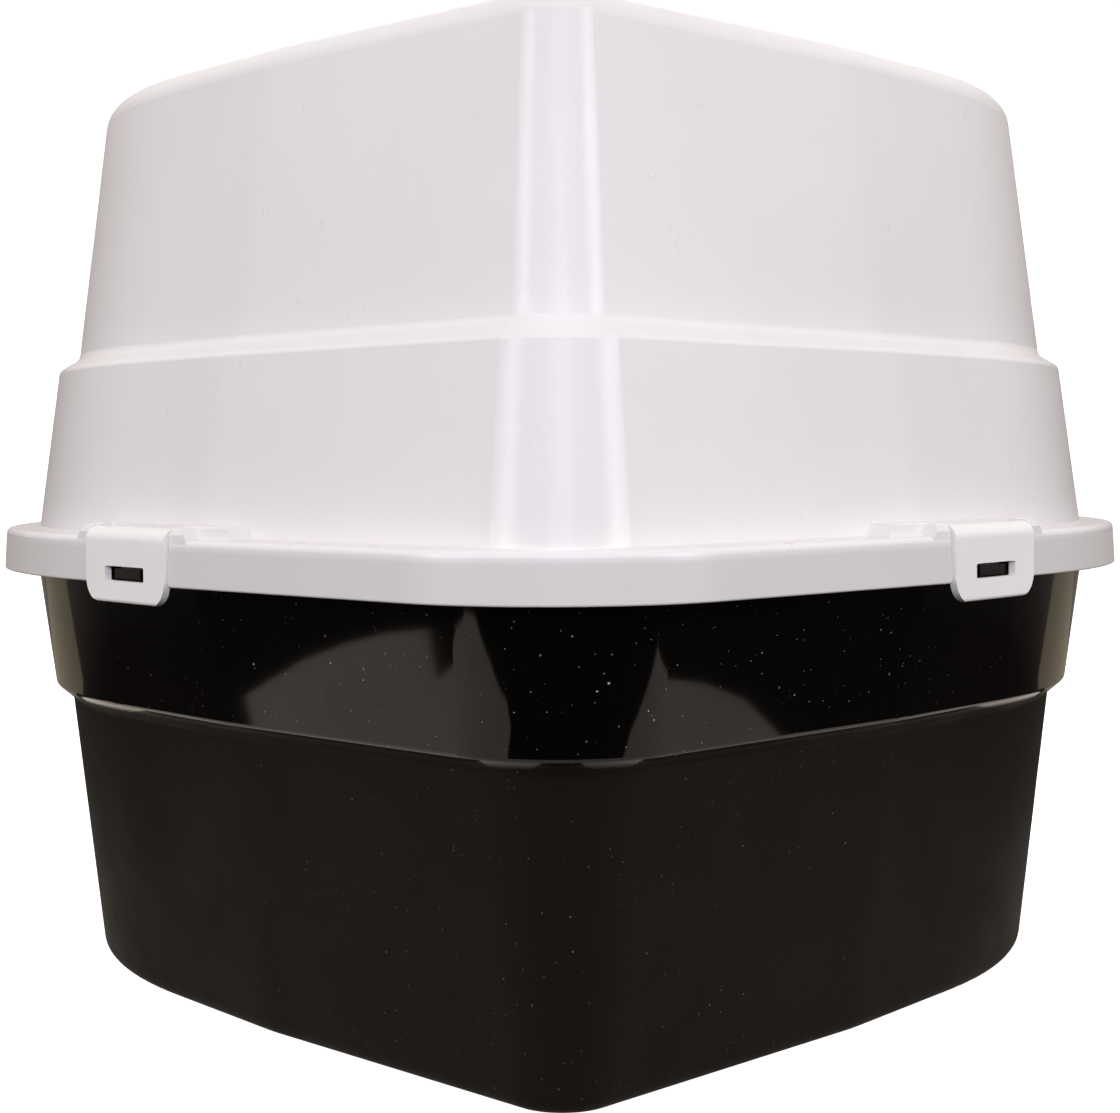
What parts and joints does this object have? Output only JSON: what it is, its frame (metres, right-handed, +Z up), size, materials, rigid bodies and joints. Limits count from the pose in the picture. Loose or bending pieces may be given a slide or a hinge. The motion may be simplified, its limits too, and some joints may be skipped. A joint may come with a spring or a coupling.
{
  "type": "cat litter box with hood",
  "caption": "Corner cat litter box: a deep pan with a lowered entry and a lift-off hood held by hinged side latches, with a vented odour filter in the roof.",
  "frame": {"origin": "centre of the footprint, on the floor", "axes": "+Z up, entry toward -Y, square back corner toward +Y"},
  "size_m": [0.5642, 0.6095, 0.419],
  "materials": {
    "pan": "gloss band over a satin lower wall, fine pale speckle",
    "hood": "pearl gloss",
    "latch": "satin",
    "pin": "satin",
    "carbon": "fibrous carbon felt",
    "cover": "pearl gloss"
  },
  "bodies": {
    "pan": {"base_pan": "pan"},
    "hood": {"hood": "hood", "latch_pin_rear_left": "pin", "latch_pin_rear_right": "pin", "latch_pin_front_left": "pin", "latch_pin_front_right": "pin", "filter_pad": "carbon", "filter_cover_pin": "pin"},
    "clip_rear_left": {"latch_rear_left": "latch"},
    "clip_rear_right": {"latch_rear_right": "latch"},
    "clip_front_left": {"latch_front_left": "latch"},
    "clip_front_right": {"latch_front_right": "latch"},
    "cover": {"filter_cover": "cover"}
  },
  "joints": [
    {"name": "hood_lift", "type": "slide", "parent": "pan", "child": "hood", "axis": [0, 0, 1], "range_m": [0, 0.3]},
    {"name": "latch_rear_left_turn", "type": "hinge", "parent": "hood", "child": "clip_rear_left", "pos_m": [-0.17719, 0.14853, 0.2122], "axis": [0.6388, 0.7694, 0], "range_deg": [0, 110]},
    {"name": "latch_rear_right_turn", "type": "hinge", "parent": "hood", "child": "clip_rear_right", "pos_m": [0.17719, 0.14853, 0.2122], "axis": [0.6388, -0.7694, 0], "range_deg": [0, 110]},
    {"name": "latch_front_left_turn", "type": "hinge", "parent": "hood", "child": "clip_front_left", "pos_m": [-0.2754, -0.165, 0.2122], "axis": [0, 1, 0], "range_deg": [0, 110]},
    {"name": "latch_front_right_turn", "type": "hinge", "parent": "hood", "child": "clip_front_right", "pos_m": [0.2754, -0.165, 0.2122], "axis": [0, -1, 0], "range_deg": [0, 110]},
    {"name": "filter_cover_turn", "type": "hinge", "parent": "hood", "child": "cover", "pos_m": [0, 0.0842, 0.4146], "axis": [-1, 0, 0], "range_deg": [0, 100]}
  ]
}
